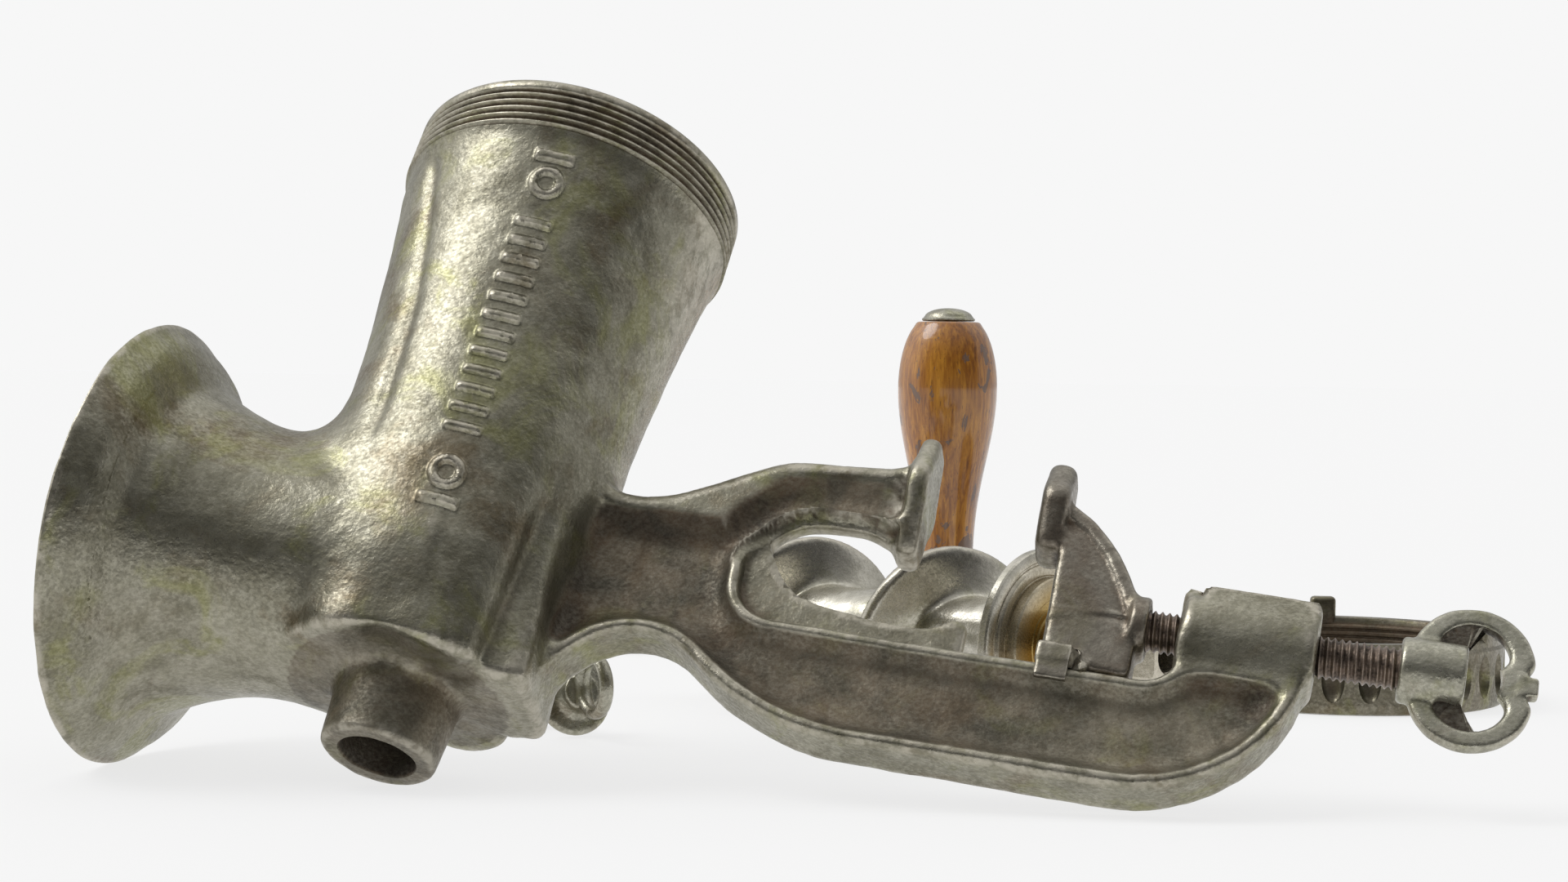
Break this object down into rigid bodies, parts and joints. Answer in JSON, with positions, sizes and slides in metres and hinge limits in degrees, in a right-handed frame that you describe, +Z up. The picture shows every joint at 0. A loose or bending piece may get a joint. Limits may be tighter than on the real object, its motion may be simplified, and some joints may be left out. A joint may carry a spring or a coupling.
{
  "type": "hand crank meat grinder",
  "caption": "Hand crank meat grinder with a table clamp, taken apart: the casting on its side with its feed screw, knife, plate, ring nut, crank and thumb screw laid out.",
  "frame": {"origin": "middle of the layout's bounding box, on the table", "axes": "+Z up from the table; +X to the right past the ring nut; +Y away from the viewer; the casting's clamp screw runs nearly along X"},
  "size_m": [0.3803, 0.3663, 0.1656],
  "materials": {
    "tinned_iron": "aged hot-dipped tin, satin and mottled",
    "bright_tin": "aged hot-dipped tin, worn brighter",
    "dark_steel": "browned steel",
    "varnished_wood": "glossy orange-brown varnish, chipped"
  },
  "bodies": {
    "casting": {"barrel": "tinned_iron", "hopper": "tinned_iron", "clamp_frame": "tinned_iron", "plate_key": "dark_steel"},
    "jaw": {"sliding_jaw": "tinned_iron", "jaw_pin": "dark_steel"},
    "screw": {"clamp_screw": "dark_steel", "thumb_turn": "bright_tin"},
    "feed_screw": {"feed_flights": "bright_tin", "feed_shank": "bright_tin", "knife_stud": "dark_steel"},
    "knife": {"knife": "dark_steel"},
    "plate": {"cutter_plate": "dark_steel"},
    "ring_nut": {"ring_nut": "tinned_iron"},
    "crank": {"crank_arm": "tinned_iron", "grip_bolt": "bright_tin", "grip_washer": "dark_steel"},
    "grip": {"wood_grip": "varnished_wood"},
    "thumb_screw": {"thumb_head": "bright_tin", "thumb_thread": "dark_steel"}
  },
  "joints": [
    {"name": "jaw_slide", "type": "slide", "parent": "casting", "child": "jaw", "axis": [-0.969, 0.2156, 0.1203], "range_m": [-0.0038, 0.017]},
    {"name": "screw_turn", "type": "hinge", "parent": "jaw", "child": "screw", "pos_m": [0.09292, -0.16124, 0.03382], "axis": [-0.969, 0.2156, 0.1203], "range_deg": [-870, 3860]},
    {"name": "feed_screw_turn", "type": "hinge", "parent": "casting", "child": "feed_screw", "pos_m": [0.04378, -0.0519, 0.0249], "axis": [-0.742, 0.6704, 0], "continuous": true},
    {"name": "knife_turn", "type": "hinge", "parent": "casting", "child": "knife", "pos_m": [-0.12862, 0.0086, 0], "axis": [0, 0, 1], "continuous": true},
    {"name": "plate_lift", "type": "slide", "parent": "casting", "child": "plate", "axis": [0, 0, 1], "range_m": [0, 0.03]},
    {"name": "ring_nut_turn", "type": "hinge", "parent": "casting", "child": "ring_nut", "pos_m": [0.14118, 0.0561, 0], "axis": [0, 0, 1], "continuous": true},
    {"name": "crank_swing", "type": "hinge", "parent": "casting", "child": "crank", "pos_m": [-0.09754, 0.17021, 0], "axis": [0, 0, 1], "range_deg": [-25, 180]},
    {"name": "grip_spin", "type": "hinge", "parent": "crank", "child": "grip", "pos_m": [0.02828, 0.1303, 0], "axis": [0, 0, 1], "continuous": true},
    {"name": "thumb_screw_turn", "type": "hinge", "parent": "casting", "child": "thumb_screw", "pos_m": [-0.07892, -0.0531, 0.01009], "axis": [0.4779, -0.8277, 0.2942], "continuous": true}
  ],
  "couplings": [
    {"joint": "screw_turn", "follows": "jaw_slide", "rad_per_m": 3957.9}
  ]
}
